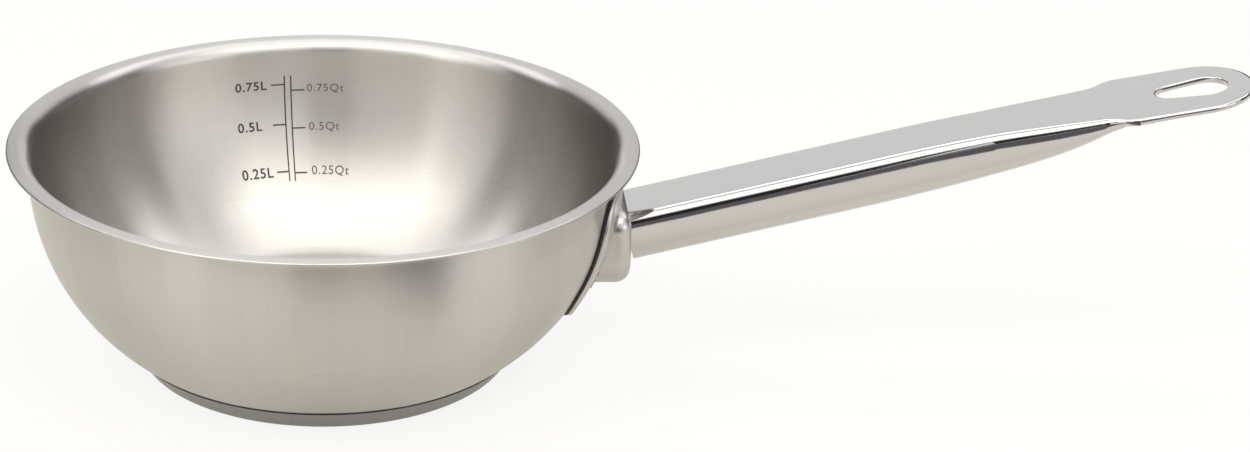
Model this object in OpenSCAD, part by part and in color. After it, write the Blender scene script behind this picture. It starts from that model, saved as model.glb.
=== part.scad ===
// Saucier pan: a deep-drawn steel bowl on a sandwich base, with a flattened-tube handle.
// Millimetres. Z is up, the origin is the centre of the base on the table, the handle runs along +X.

/* [Bowl] */
// Inside diameter of the upright wall, the size the pan is sold by
inner_d = 160; // [150:1:180]
// Height of the rim above the table
rim_h = 63.8; // [60:0.1:68]
// Thickness of the drawn sheet
bowl_wall = 0.8; // [0.6:0.1:1.2]
// Outside radius of the rounded belly
belly_r = 62.4; // [60:0.1:66]
// Depth from the rim to where the belly turns upright
upright_h = 6.7; // [5:0.1:9]
// Radius of the bend that turns the wall out into the pouring rim
flare_r = 3.5; // [2.5:0.1:4.5]
// How far the pouring rim reaches out from the inside wall
rim_reach = 6.5; // [5.5:0.1:8]
// Outside radius between the belly and the flat floor
floor_corner_r = 8; // [6:0.5:10]

/* [Base] */
// Thickness of the aluminium core
core_t = 5; // [4:0.1:5.5]
// Thickness of the cap that seals the core
cap_wall = 0.6; // [0.4:0.1:0.9]
// How far the flat that stands on the hob lies inside the cap's edge
cap_inset = 7; // [5.5:0.1:8]
// Radius of the cap's lower corner
cap_corner_r = 4; // [3:0.1:5]
// Height of the cap's edge above the table
seam_h = 6.8; // [6.4:0.1:7.4]
// How far the cap's edge stands out from the belly
cap_lip = 0.2; // [0.1:0.05:0.4]

/* [Weld plate] */
// Width of the plate round the bowl
plate_w = 60; // [50:0.5:66]
// Height of the plate
plate_h = 37; // [32:0.5:39]
// Thickness of the plate
plate_t = 1.5; // [1:0.1:2]
// Radius of the plate's corners
plate_corner_r = 10; // [6:0.5:14]
// Height of the plate's centre above the table
plate_z = 38.9; // [37.5:0.1:39.5]
// Diameter of one resistance weld
weld_d = 4.5; // [3:0.1:6]
// Distance between the two rows of welds, across the handle
weld_across = 42; // [38:0.5:46]
// Distance between the two rows of welds, up the wall
weld_up = 17; // [14:0.5:20]

/* [Ferrule] */
// How far the cup that hides the handle's root stands out on each side of the tube
ferrule_side = 2.55; // [2:0.05:4]
// How far it stands up past the tube's top
ferrule_above = 0.95; // [0.8:0.05:1.5]
// How far it reaches down past the tube's underside
ferrule_below = 5.6; // [5:0.05:7]
// Radius of its two lower corners, seen from the handle's end
ferrule_lower_r = 9.5; // [7:0.5:11]
// Radius of its two upper corners
ferrule_upper_r = 5; // [4:0.5:6]
// Radius of the edge round its face
ferrule_edge_r = 4; // [2.5:0.1:4.3]
// Thickness of its wall
ferrule_wall = 1; // [0.6:0.1:1.4]
// Distance of its face from the bowl's upright wall
ferrule_reach = 3.8; // [3:0.1:6]

/* [Handle] */
// Width of the tube
tube_w = 22.4; // [20:0.1:23]
// Height of the tube
tube_h = 16.5; // [14:0.1:17]
// Thickness of the tube's sheet
tube_wall = 0.9; // [0.7:0.1:1.2]
// Radius of the two upper edges of the tube
tube_edge_r = 3; // [2:0.1:4]
// Height of the tube's top where it enters the ferrule
root_top_z = 45.4; // [45:0.1:45.6]
// Upward tilt of the tube, in degrees
tube_tilt = 13.9; // [8:0.1:18]
// Upward tilt of the flat tongue, in degrees
tongue_tilt = 10.4; // [6:0.1:16]
// Reach of the handle from the ferrule's face to the tip
handle_len = 174.2; // [150:0.1:220]
// Width of the tongue
tongue_w = 32.4; // [28:0.1:34]
// Distance from the tip to where the underside starts to rise
press_start = 115; // [100:1:120]
// Distance from the tip to where the tube starts to widen
widen_start = 75; // [65:1:90]
// Width of the pressed tube, before it steps out to the tongue
pressed_w = 26.2; // [24:0.1:28]
// Length of that step
step_len = 9.5; // [6:0.5:14]
// Distance from the tip to where the tongue has its full width
widen_end = 35.5; // [33:0.5:42]
// How far before that place the underside is pressed flat
press_lead = 4; // [1:0.5:8]
// Distance from the tip to the middle of the bend in the top face
bend_at = 81; // [75:1:90]
// Length of that bend
bend_len = 36; // [20:1:40]

/* [Hanging slot] */
// Length of the slot
slot_len = 20.6; // [17:0.1:22]
// Width of its round outer end
slot_w = 13; // [11:0.1:14]
// Width of its narrow inner end
slot_neck_w = 9; // [7:0.1:10]
// Metal left between the slot and the tip
slot_margin = 7.2; // [6:0.1:9]

/* [Hidden] */
$fn = 96;

// Clearance between curved faces that meet
seat = 0.05;
// Stand-off that resistance welding leaves between plate and bowl
plate_gap = 0.15;
// Width of the bead that joins the tube to the plate
bead_w = 1.4;
// How far a weld stands proud of the plate
weld_proud = 0.2;
// How far the tube and its bead reach back through the ferrule
root_len = 12;
// Smallest radius of a corner that is drawn in
least_edge_r = 0.2;
// A length beyond every piece, for cutting
far = 400;
// A small length past a face, for clean cuts
spare = 2;

inner_r = inner_d / 2;
outer_r = inner_r + bowl_wall;
rim_r = inner_r + rim_reach;
belly = [outer_r - belly_r, rim_h - upright_h];
floor_z = cap_wall + core_t;
corner_drop = belly[1] - floor_z - floor_corner_r;
corner_run = sqrt(pow(belly_r - floor_corner_r, 2) - pow(corner_drop, 2));
corner = [belly[0] + corner_run, floor_z + floor_corner_r];

// Outside radius of the bowl at a height within its lower corner
function corner_radius_at(z) = corner[0] + sqrt(pow(floor_corner_r, 2) - pow(corner[1] - z, 2));

// Region inside the bowl's outer surface, moved in by inset, up to the upright wall's top
module bowl_region(inset) {
    top = rim_h - flare_r;
    slope = (corner - belly) / norm(corner - belly);
    // Floor
    translate([0, floor_z + inset]) square([corner[0], top - floor_z - inset]);
    // Lower corner
    translate(corner) circle(r = floor_corner_r - inset);
    // Belly, right of the line through both arc centres
    intersection() {
        translate(belly) circle(r = belly_r - inset);
        polygon([belly, belly + far * slope, belly + [far, -far], belly + [far, 0]]);
    }
    // Upright wall
    translate([0, belly[1]]) square([outer_r - inset, top - belly[1]]);
}

// Keeps the half of a profile that is right of the axis
module right_half() {
    intersection() {
        translate([0, -far]) square([far, 2 * far]);
        children();
    }
}

module bowl_profile() {
    bend = [inner_r + flare_r, rim_h - flare_r];
    difference() {
        bowl_region(0);
        bowl_region(bowl_wall);
    }
    // Bend of the pouring rim
    intersection() {
        translate(bend) difference() {
            circle(r = flare_r);
            circle(r = flare_r - bowl_wall);
        }
        translate(bend - [flare_r, 0]) square(flare_r);
    }
    // Flat of the pouring rim, with a half-round lip
    translate([bend[0], rim_h - bowl_wall]) square([rim_r - bowl_wall / 2 - bend[0], bowl_wall]);
    translate([rim_r - bowl_wall / 2, rim_h - bowl_wall / 2]) circle(d = bowl_wall);
}

module bowl() {
    color("silver") rotate_extrude($fn = 180) right_half() bowl_profile();
}

cap_edge = [corner_radius_at(seam_h) + cap_lip, seam_h];
cap_corner = [cap_edge[0] - cap_inset, cap_corner_r];
cap_reach = norm(cap_edge - cap_corner);
cap_angle = atan2(cap_edge[1] - cap_corner[1], cap_edge[0] - cap_corner[0]) - acos(cap_corner_r / cap_reach);
cap_out = [cos(cap_angle), sin(cap_angle)];

// Region inside the cap's outer surface, moved in by inset
module cap_region(inset) {
    translate(cap_corner) circle(r = cap_corner_r - inset);
    polygon([
        [0, inset], [cap_corner[0], inset], cap_corner,
        cap_corner + (cap_corner_r - inset) * cap_out,
        cap_edge - inset * cap_out, [0, cap_edge[1]]
    ]);
}

// Aluminium disc that spreads the heat, sealed between the floor and the cap
module core_disc() {
    color("gainsboro") rotate_extrude($fn = 180) intersection() {
        cap_region(cap_wall + seat);
        square([far, floor_z]);
    }
}

// Pressed cap that closes the base and stands on the hob
module base_cap() {
    color("darkgray") rotate_extrude($fn = 180) right_half() difference() {
        cap_region(0);
        cap_region(cap_wall);
        bowl_region(-seat);
    }
}

// Solid whose outer face follows the bowl at a distance, with its seam turned away from the handle
module bowl_offset(distance) {
    rotate([0, 0, 90]) rotate_extrude($fn = 180) right_half() bowl_region(-distance);
}

// Rectangle with round corners, centred
module round_rect(w, h, r) {
    square([w - 2 * r, h], center = true);
    square([w, h - 2 * r], center = true);
    for (sx = [-1, 1], sy = [-1, 1]) translate([sx * (w / 2 - r), sy * (h / 2 - r)]) circle(r = r);
}

// Turns a drawing of Y and Z into a prism along +X
module along_x() {
    rotate([90, 0, 90]) children();
}

module at_welds() {
    for (sy = [-1, 1], sz = [-1, 1]) {
        translate([0, sy * weld_across / 2, plate_z + sz * weld_up / 2]) along_x() children();
    }
}

plate_in = plate_gap;
plate_out = plate_gap + plate_t;

// Curved plate that carries the handle, welded to the bowl
module weld_plate() {
    color("darkgray") difference() {
        intersection() {
            bowl_offset(plate_out);
            translate([0, 0, plate_z]) along_x() linear_extrude(far)
                round_rect(plate_w, plate_h, plate_corner_r);
        }
        bowl_offset(plate_in);
        at_welds() cylinder(d = weld_d + 2 * seat, h = far);
    }
}

// Four round welds that join plate and bowl
module plate_welds() {
    color("gray") difference() {
        intersection() {
            bowl_offset(plate_out + weld_proud);
            at_welds() cylinder(d = weld_d, h = far);
        }
        bowl_offset(seat);
    }
}

ferrule_x = outer_r + ferrule_reach;
ferrule_w = tube_w + 2 * ferrule_side;
ferrule_h = ferrule_above + tube_h + ferrule_below;
ferrule_z = root_top_z + ferrule_above - ferrule_h / 2;

// Closed skin through rings of equally many points
module skin(rings) {
    n = len(rings[0]);
    m = len(rings);
    sides = [for (i = [0:m - 2], j = [0:n - 1]) let (a = i * n + j, b = i * n + (j + 1) % n) each
        [[a, b, b + n], [a, b + n, a + n]]];
    ends = [[for (j = [n - 1:-1:0]) j], [for (j = [0:n - 1]) (m - 1) * n + j]];
    polyhedron(points = [for (r = rings) each r], faces = concat(sides, ends), convexity = 6);
}

// One corner of the ferrule's outline, drawn in by inset, clockwise from angle a
function cup_corner(side, up, r, inset, a) =
    let (
        y = side * (ferrule_w / 2 - r),
        z = ferrule_z + up * (ferrule_h / 2 - r),
        reach = max(least_edge_r, r - inset)
    )
    [for (t = [a:-15:a - 90]) [y + reach * cos(t), z + reach * sin(t)]];
function cup_ring(x, inset) = [
    for (p = concat(
        cup_corner(1, 1, ferrule_upper_r, inset, 90), cup_corner(1, -1, ferrule_lower_r, inset, 0),
        cup_corner(-1, -1, ferrule_lower_r, inset, -90), cup_corner(-1, 1, ferrule_upper_r, inset, 180)
    )) [x, p[0], p[1]]
];

// Solid inside the ferrule's outer surface, moved in by inset, with a round edge at its front
module ferrule_block(inset) {
    e = ferrule_edge_r - inset;
    edge_x = ferrule_x - ferrule_edge_r;
    front = [for (t = [0:15:90]) cup_ring(edge_x + e * sin(t), inset + e * (1 - cos(t)))];
    skin(concat([cup_ring(ferrule_x - root_len - inset, inset)], front));
}

// Height of the tube's top face along the handle, smoothed where it bends
tip_x = ferrule_x + handle_len;
bend_x = tip_x - bend_at;
tube_rise = tan(tube_tilt);
tongue_rise = tan(tongue_tilt);
bend_z = root_top_z + tube_rise * (bend_x - ferrule_x);
function clamp01(t) = min(1, max(0, t));
function top_z(x) =
    let (bent = clamp01((x - bend_x) / bend_len + 0.5) * bend_len)
    x >= bend_x + bend_len / 2
        ? bend_z + tongue_rise * (x - bend_x)
        : bend_z + tube_rise * (x - bend_x) - (tube_rise - tongue_rise) * bent * bent / (2 * bend_len);
function top_tilt(x) = atan(tube_rise - (tube_rise - tongue_rise) * clamp01((x - bend_x) / bend_len + 0.5));

// Section of the tube: flat top, upright sides, half-round underside
module tube_section(grow) {
    r = tube_edge_r + grow;
    w = tube_w / 2 + grow;
    side = tube_h - tube_w / 2;
    intersection() {
        translate([0, -side]) circle(r = w);
        translate([-w, -side - w]) square([2 * w, w]);
    }
    translate([-w, -side]) square([2 * w, side + grow - r]);
    translate([r - w, -side]) square([2 * (w - r), side + grow]);
    for (s = [-1, 1]) translate([s * (w - r), grow - r]) circle(r = r);
}

// Straight prism of the tube's section, through the ferrule along the handle's tilt
module tube_prism(grow) {
    translate([ferrule_x, 0, root_top_z]) rotate([0, -tube_tilt, 0]) along_x()
        translate([0, 0, -2 * root_len]) linear_extrude(4 * root_len) tube_section(grow);
}

// Pressed cup between the plate and the tube
module ferrule() {
    color("lightgray") difference() {
        ferrule_block(0);
        ferrule_block(ferrule_wall);
        bowl_offset(plate_out + seat);
        tube_prism(2 * seat);
    }
}

// Bead inside the ferrule that welds the tube's sides and underside to the plate
module root_weld() {
    color("gray") difference() {
        intersection() {
            bowl_offset(plate_out + bead_w);
            tube_prism(bead_w);
            translate([0, -tube_w, 0]) cube([far, 2 * tube_w, root_top_z - 2 * tube_edge_r]);
        }
        bowl_offset(plate_out + seat);
        tube_prism(seat);
    }
}

tongue_t = 2 * tube_wall;
press_from = tip_x - press_start;
step_to = tip_x - widen_end;
step_from = step_to - step_len;
press_to = step_to - press_lead;
side_h = tube_h - tube_w / 2;
tongue_edge_r = 0.7;
// How late the depth falls: 2 is a quarter of an ellipse, more is a blunter end
press_power = 2.5;
// How the underside thins towards its edges: a half circle on the tube, a hollow curve where it is pressed
round_power = 0.5;
thin_power = 0.8;
// How late the underside changes from one to the other
thin_delay = 1.5;

// Share of the tube's full depth left at x: one until the press starts, then down a blunt curve
function depth_share(x) = sqrt(1 - pow(clamp01((x - press_from) / (press_to - press_from)), press_power));
function depth_at(x) = tongue_t + (tube_h - tongue_t) * depth_share(x);

// Half the width at x: it grows evenly along the pressed tube, then steps out along a soft S
function smooth(t) = t * t * (3 - 2 * t);
function widen_share(x) = clamp01((x - tip_x + widen_start) / (step_from - tip_x + widen_start));
function step_share(x) = smooth(clamp01((x - step_from) / step_len));
function half_width(x) =
    (tube_w + (pressed_w - tube_w) * widen_share(x) + (tongue_w - pressed_w) * step_share(x)) / 2;
function side_at(x) = tongue_t + (side_h - tongue_t) * depth_share(x);
function edge_r_at(x) = tongue_edge_r + (tube_edge_r - tongue_edge_r) * depth_share(x);
function power_at(x) = round_power + (thin_power - round_power) * pow(1 - depth_share(x), thin_delay);

// Depth of the underside below the top face at a share u of the half width
function under(x, u) = side_at(x) + (depth_at(x) - side_at(x)) * pow(max(0, 1 - u * u), power_at(x));

edge_turns = [0, 22.5, 45, 67.5, 90];
under_steps = 24;
// Shares of the half width at which the underside has points, from the right edge to the left one
under_shares = [for (i = [0:under_steps]) cos(180 * i / under_steps)];

// Round edge between the top face and a side, as points across and below the top face
function edge(w, r) = [for (a = edge_turns) [w - r + r * sin(a), r * cos(a) - r]];
function mirrored(points) = [for (i = [len(points) - 1:-1:0]) [-points[i][0], points[i][1]]];
function lowered(points, drop) = [for (p = points) p - [0, drop]];

// Outer section at x
function outer_ring(x) =
    let (w = half_width(x), right_edge = edge(w, edge_r_at(x)))
    concat(right_edge, [for (u = under_shares) [w * u, -under(x, u)]], mirrored(right_edge));

// Inner section: the same shape one wall further in, drawn in from the pinched edges
pinch = 0.35;
pinch_delay = 1.2;
function inner_ring(x) =
    let (
        w = (half_width(x) - tube_wall) * (1 - pinch * pow(1 - depth_share(x), pinch_delay)),
        right_edge = lowered(edge(w, max(least_edge_r, edge_r_at(x) - tube_wall)), tube_wall),
        share = w / half_width(x)
    )
    concat(
        right_edge,
        [for (u = under_shares) [w * u, tube_wall - under_inner(x, u, share)]],
        mirrored(right_edge)
    );

// Depth of the cavity's underside: as round as the outside on the tube, parallel to it where pressed
function under_inner(x, u, share) =
    let (k = depth_share(x)) under(x, u) * k + under(x, u * share) * (1 - k);

// Places a section square to the top face at x
function placed(ring, x) =
    let (t = top_tilt(x))
    [for (p = ring) [x - p[1] * sin(t), p[0], top_z(x) + p[1] * cos(t)]];

press_steps = 18;
lead_steps = 4;
// Share of the pressed length at which the two sheets meet
cavity_end = 0.985;
root_x = ferrule_x - root_len;
press_stations = [for (i = [0:press_steps]) press_from + (press_to - press_from) * sin(90 * i / press_steps)];
lead_stations = [for (i = [1:lead_steps]) press_to + press_lead * i / lead_steps];
outer_stations = concat([root_x], press_stations, lead_stations, [tip_x + spare]);
inner_stations = concat(
    [root_x - spare],
    [for (x = press_stations) if (x < press_from + cavity_end * (press_to - press_from)) x]
);

slot_r = slot_w / 2;
neck_r = slot_neck_w / 2;
slot_out_x = tip_x - slot_margin - slot_r;
slot_in_x = tip_x - slot_margin - slot_len + neck_r;

// Teardrop of two circles and their outer tangents, centred on the round end
module teardrop() {
    run = slot_out_x - slot_in_x;
    a = asin((slot_r - neck_r) / run);
    circle(r = slot_r);
    translate([-run, 0]) circle(r = neck_r);
    polygon([
        slot_r * [-sin(a), cos(a)], neck_r * [-sin(a), cos(a)] - [run, 0],
        neck_r * [-sin(a), -cos(a)] - [run, 0], slot_r * [-sin(a), -cos(a)]
    ]);
}

// Stands a drawing square to the tongue, with its origin on the top face at x
module on_tongue(x) {
    translate([x, 0, top_z(x)]) rotate([0, -tongue_tilt, 0]) children();
}

// Tube with a flat top, pressed flat and punched at its end
module handle() {
    end_x = tip_x - tongue_w / 2;
    color("gainsboro") difference() {
        intersection() {
            skin([for (x = outer_stations) placed(outer_ring(x), x)]);
            on_tongue(end_x) translate([0, 0, -far / 2]) linear_extrude(far) {
                circle(d = tongue_w);
                translate([-far, -tongue_w]) square([far, 2 * tongue_w]);
            }
        }
        skin([for (x = inner_stations) placed(inner_ring(x), x)]);
        bowl_offset(plate_out + seat);
        on_tongue(slot_out_x) translate([0, 0, -tube_h]) linear_extrude(2 * tube_h) teardrop();
    }
}

bowl();
core_disc();
base_cap();
weld_plate();
plate_welds();
ferrule();
root_weld();
handle();
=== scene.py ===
# %% [markdown]
# # A saucier pan in satin and polished stainless steel
# The pan is a bowl drawn from sheet, a base cap, a handle pressed from a tube, and the small parts
# between them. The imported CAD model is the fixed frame, in metres, with the origin on the table under the
# middle of the bowl. Polished metal shows every flat of a faceted mesh, so each visible piece is worked
# out here again as a smooth surface of the same size. Lengths are in millimetres until a mesh is made.

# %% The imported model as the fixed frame
import math

import bpy
import numpy as np
from mathutils import Matrix, Vector


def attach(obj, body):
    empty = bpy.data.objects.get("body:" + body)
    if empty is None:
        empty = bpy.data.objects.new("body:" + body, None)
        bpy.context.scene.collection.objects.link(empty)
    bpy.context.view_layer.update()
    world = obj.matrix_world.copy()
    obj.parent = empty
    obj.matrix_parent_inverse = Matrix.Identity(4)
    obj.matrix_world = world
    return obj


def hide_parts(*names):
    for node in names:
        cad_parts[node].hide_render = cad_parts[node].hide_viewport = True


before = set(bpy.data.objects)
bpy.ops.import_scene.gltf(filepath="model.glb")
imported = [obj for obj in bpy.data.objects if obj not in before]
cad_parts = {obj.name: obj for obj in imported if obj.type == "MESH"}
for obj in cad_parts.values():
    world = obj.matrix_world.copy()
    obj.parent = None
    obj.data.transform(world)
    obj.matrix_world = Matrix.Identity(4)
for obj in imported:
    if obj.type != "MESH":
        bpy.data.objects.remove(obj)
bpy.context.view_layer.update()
MM = 0.001
print("frame:", sorted(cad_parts))

# %% [markdown]
# ## Grids
# A surface is a grid of points, row by row. Its faces come from the numbering alone, so a few lines serve
# every piece. Points that fall on one place, at a pole or where two grids meet, are welded into one.

# %% From grids to a mesh


def grid_faces(rows, cols, close_rows=False, close_cols=False):
    """Quads of a rows by cols grid. The normal is the row direction crossed with the column direction."""
    r = np.arange(rows if close_rows else rows - 1)[:, None]
    c = np.arange(cols if close_cols else cols - 1)[None, :]
    r_next, c_next = (r + 1) % rows, (c + 1) % cols
    corners = [r * cols + c, r_next * cols + c, r_next * cols + c_next, r * cols + c_next]
    return np.stack(corners, axis=-1).reshape(-1, 4)


WELD_MM = 1e-4  # points nearer than this are one
SHARP = math.radians(38)  # a fold above this angle stays a crisp edge


def make_piece(name, grids, material):
    """One mesh from (points, close_rows, close_cols) grids. Points that round to one place are welded, a
    quad with two corners in one place becomes a triangle, and all but sharp folds are shaded smooth."""
    points, faces, count = [], [], 0
    for surface, close_rows, close_cols in grids:
        rows, cols = surface.shape[:2]
        points.append(surface.reshape(-1, 3))
        faces.append(grid_faces(rows, cols, close_rows, close_cols) + count)
        count += rows * cols
    points, faces = np.concatenate(points), np.concatenate(faces)
    keys = np.round(points / WELD_MM).astype(np.int64)
    _, first, index = np.unique(keys, axis=0, return_index=True, return_inverse=True)
    faces = index.reshape(-1)[faces]
    doubled = faces == np.roll(faces, -1, axis=1)
    repeats = doubled.sum(axis=1)
    quads = faces[repeats == 0]
    keep = np.arange(4)[None, :] != np.argmax(doubled[repeats == 1], axis=1)[:, None]
    triangles = faces[repeats == 1][keep].reshape(-1, 3)
    mesh = bpy.data.meshes.new(name)
    mesh.from_pydata((points[first] * MM).tolist(), [], quads.tolist() + triangles.tolist())
    mesh.polygons.foreach_set("use_smooth", np.ones(len(mesh.polygons), bool))
    mesh.set_sharp_from_angle(angle=SHARP)
    mesh.materials.append(material)
    mesh.update()
    piece = bpy.data.objects.new(name, mesh)
    bpy.context.scene.collection.objects.link(piece)
    print(f"{name}: {len(mesh.vertices)} points, {len(mesh.polygons)} faces")
    return piece


# %% [markdown]
# ### Lines, arcs and rolled edges
# Drawn and pressed metal is made of straight stretches and true arcs. A profile is a row of such
# stretches, and a round piece is its profile turned about the upright axis. A cut edge of sheet is
# rolled: a quarter circle goes in from the outline while it goes down from the face.

# %% Lines, arcs and rolled edges


def arc(centre, radius, start, end, count):
    """Points on a circle: centre plus radius times (cos, sin) of count angles, start to end in degrees."""
    a = np.radians(np.linspace(start, end, count))
    return np.column_stack([centre[0] + radius * np.cos(a), centre[1] + radius * np.sin(a)])


def straight(start, end, count):
    """Points on a line: start times (1 - t) plus end times t, for count even steps of t from 0 to 1."""
    t = np.linspace(0, 1, count)[:, None]
    return np.asarray(start, float) * (1 - t) + np.asarray(end, float) * t


def quarter_roll(radius, count):
    """Inset and depth of count points on a rolled edge: radius times (1 - sin t) and times (1 - cos t)."""
    t = np.radians(np.linspace(0, 90, count))
    return radius * (1 - np.sin(t)), radius * (1 - np.cos(t))


TURN_STEPS = 288


def revolve(*stretches):
    """A profile of (radius, height) stretches, turned about the upright axis: (r cos t, r sin t, z)."""
    profile = np.concatenate(stretches)
    moved = np.linalg.norm(np.diff(profile, axis=0), axis=1) > WELD_MM
    profile = profile[np.concatenate([[True], moved])]
    t = np.linspace(0, 2 * np.pi, TURN_STEPS, endpoint=False)[:, None]
    r, z = profile[None, :, 0], profile[None, :, 1]
    return np.stack([r * np.cos(t), r * np.sin(t), z + 0 * t], axis=-1)


# %% [markdown]
# ## Materials
# Everything that shows is stainless steel. The bowl was turned against an abrasive belt, which leaves
# fine rings and a satin gloss that spreads across the rings and hardly along them. The handle was
# polished to a mirror after pressing. Ferrule and weld plate were buffed once, so their gloss is softer.
# Colours are written as sRGB hex, as a paint chart gives them, and one function turns them to linear.

# %% Colour and node helpers
COLOUR_A, COLOUR_B, MIXED_COLOUR = 6, 7, 2  # a Mix node's sockets when it mixes colours


def linear(hex_colour):
    """sRGB hex to linear RGBA: a share c becomes ((c + 0.055) / 1.055) to the power 2.4, or c / 12.92 where
    it is no more than 0.04045."""
    channels = [int(hex_colour[i:i + 2], 16) / 255 for i in (1, 3, 5)]
    return [c / 12.92 if c <= 0.04045 else ((c + 0.055) / 1.055) ** 2.4 for c in channels] + [1.0]


def add(tree, kind, settings=None, inputs=None):
    """Adds one node: settings are its own attributes, and inputs are values or other nodes' outputs."""
    node = tree.nodes.new(kind)
    for name, value in (settings or {}).items():
        setattr(node, name, value)
    for name, value in (inputs or {}).items():
        if isinstance(value, bpy.types.NodeSocket):
            tree.links.new(value, node.inputs[name])
        else:
            node.inputs[name].default_value = value
    return node


def new_material(name):
    """An empty material with its output node: returns material, tree and output."""
    material = bpy.data.materials.new(name)
    material.use_nodes = True
    tree = material.node_tree
    tree.nodes.clear()
    print("material:", name)
    return material, tree, tree.nodes.new("ShaderNodeOutputMaterial")


# %% [markdown]
# ### Satin stainless steel
# The rings of the belt follow circles about the axis. Radius and height of a point say on which ring it
# lies, so a noise that reads only these two gives closed rings, where a picture wrapped round the bowl
# would show its joint. Real rings are some hundredths of a millimetre apart. They are drawn ten times
# coarser, or a picture of the whole pan would lose them. Drawing the sheet leaves soft patches and faint
# upright streaks in its tone. One noise that reads the place and one that reads only the heading from the
# axis, added together, mix a warmer and a cooler steel.

# %% Satin stainless steel
RING_MM = 0.45
RING_DRIFT = 0.012  # share of the place that is added, so that the rings aren't perfectly round
RING_RELIEF_MM = 0.02
GLOSS_VARIES = 0.03  # roughness up and down from ring to ring
QUARTER_TURN = 0.25  # the gloss spreads across the rings, not along them
PATCH_MM = 26
STREAKS_ROUND = 14  # noise cells per radian, so a streak is some 5 mm wide on the wall


def satin_steel(name, warm, cool, roughness, spread):
    """Brushed steel: a noise of (radius, height) varies roughness and relief ring by ring, and a noise of
    the place plus a noise of the heading mix the two tones."""
    material, tree, output = new_material(name)
    place = add(tree, "ShaderNodeTexCoord").outputs["Object"]
    apart = add(tree, "ShaderNodeSeparateXYZ", None, {0: place})
    flat = add(tree, "ShaderNodeCombineXYZ", None, {"X": apart.outputs["X"], "Y": apart.outputs["Y"]})
    radius = add(tree, "ShaderNodeVectorMath", {"operation": "LENGTH"}, {0: flat.outputs[0]})
    ring = add(tree, "ShaderNodeCombineXYZ", None, {"X": radius.outputs["Value"], "Y": apart.outputs["Z"]})
    drift = add(tree, "ShaderNodeVectorMath", {"operation": "MULTIPLY_ADD"},
                {0: place, 1: (RING_DRIFT, RING_DRIFT, 0.0), 2: ring.outputs[0]})
    rings = add(tree, "ShaderNodeTexNoise", None,
                {"Vector": drift.outputs[0], "Scale": 1 / (RING_MM * MM), "Detail": 4.0, "Roughness": 0.65})
    patches = add(tree, "ShaderNodeTexNoise", None,
                  {"Vector": place, "Scale": 1 / (PATCH_MM * MM), "Detail": 2.0, "Roughness": 0.4})
    heading = add(tree, "ShaderNodeVectorMath", {"operation": "NORMALIZE"}, {0: flat.outputs[0]})
    streaks = add(tree, "ShaderNodeTexNoise", None,
                  {"Vector": heading.outputs[0], "Scale": STREAKS_ROUND, "Detail": 3.0, "Roughness": 0.6})
    blend = add(tree, "ShaderNodeMath", {"operation": "ADD"},
                {0: patches.outputs["Fac"], 1: streaks.outputs["Fac"]})
    tone = add(tree, "ShaderNodeMapRange", None,
               {"Value": blend.outputs[0], "From Min": 0.75, "From Max": 1.25})
    shade = add(tree, "ShaderNodeMix", {"data_type": "RGBA"},
                {"Factor": tone.outputs[0], COLOUR_A: linear(warm), COLOUR_B: linear(cool)})
    gloss = add(tree, "ShaderNodeMapRange", None,
                {"Value": rings.outputs["Fac"], "From Min": 0.3, "From Max": 0.7,
                 "To Min": roughness - GLOSS_VARIES, "To Max": roughness + GLOSS_VARIES})
    relief = add(tree, "ShaderNodeBump", None,
                 {"Height": rings.outputs["Fac"], "Strength": 0.08, "Distance": RING_RELIEF_MM * MM})
    tangent = add(tree, "ShaderNodeTangent", {"direction_type": "RADIAL", "axis": "Z"})
    steel = add(tree, "ShaderNodeBsdfPrincipled", None,
                {"Base Color": shade.outputs[MIXED_COLOUR], "Metallic": 1.0, "Roughness": gloss.outputs[0],
                 "Anisotropic": spread, "Anisotropic Rotation": QUARTER_TURN,
                 "Normal": relief.outputs[0], "Tangent": tangent.outputs[0]})
    tree.links.new(steel.outputs[0], output.inputs["Surface"])
    return material


satin_bowl_steel = satin_steel("satin_stainless_steel", "#c3c1bd", "#bfbdba", roughness=0.3, spread=0.97)
# The base cap's steel is a darker grey than the bowl's: painted shade, for the shaded floor near the foot
# that the cap reflects.
satin_base_steel_painted_shade = satin_steel("satin_base_steel_painted_shade", "#979696", "#949495", roughness=0.28, spread=0.9)

# %% [markdown]
# ### Polished stainless steel
# A buffing wheel takes the grain away and leaves a gloss like chrome, but pressed sheet is never quite
# flat. The handle is rubbed to a mirror, while ferrule and plate are left with a haze, which is a higher
# roughness. A very shallow swell, some 20 mm from crest to crest, makes long reflections waver as they do
# on the real handle.

# %% Polished stainless steel
SWELL_APART_MM = 20
HAZE_MM = 3
HAZE_VARIES = 0.3  # share of the roughness, up and down


def polished_steel(name, colour, roughness, swell_mm):
    """Polished steel: a broad noise of the place raises a shallow swell, a finer one varies the gloss."""
    material, tree, output = new_material(name)
    place = add(tree, "ShaderNodeTexCoord").outputs["Object"]
    swell = add(tree, "ShaderNodeTexNoise", None,
                {"Vector": place, "Scale": 1 / (SWELL_APART_MM * MM), "Detail": 1.0, "Roughness": 0.4})
    haze = add(tree, "ShaderNodeTexNoise", None,
               {"Vector": place, "Scale": 1 / (HAZE_MM * MM), "Detail": 3.0, "Roughness": 0.6})
    gloss = add(tree, "ShaderNodeMapRange", None,
                {"Value": haze.outputs["Fac"], "From Min": 0.3, "From Max": 0.7,
                 "To Min": roughness * (1 - HAZE_VARIES), "To Max": roughness * (1 + HAZE_VARIES)})
    relief = add(tree, "ShaderNodeBump", None,
                 {"Height": swell.outputs["Fac"], "Strength": 1.0, "Distance": swell_mm * MM})
    steel = add(tree, "ShaderNodeBsdfPrincipled", None,
                {"Base Color": linear(colour), "Metallic": 1.0, "Roughness": gloss.outputs[0],
                 "Normal": relief.outputs[0]})
    tree.links.new(steel.outputs[0], output.inputs["Surface"])
    return material


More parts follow.
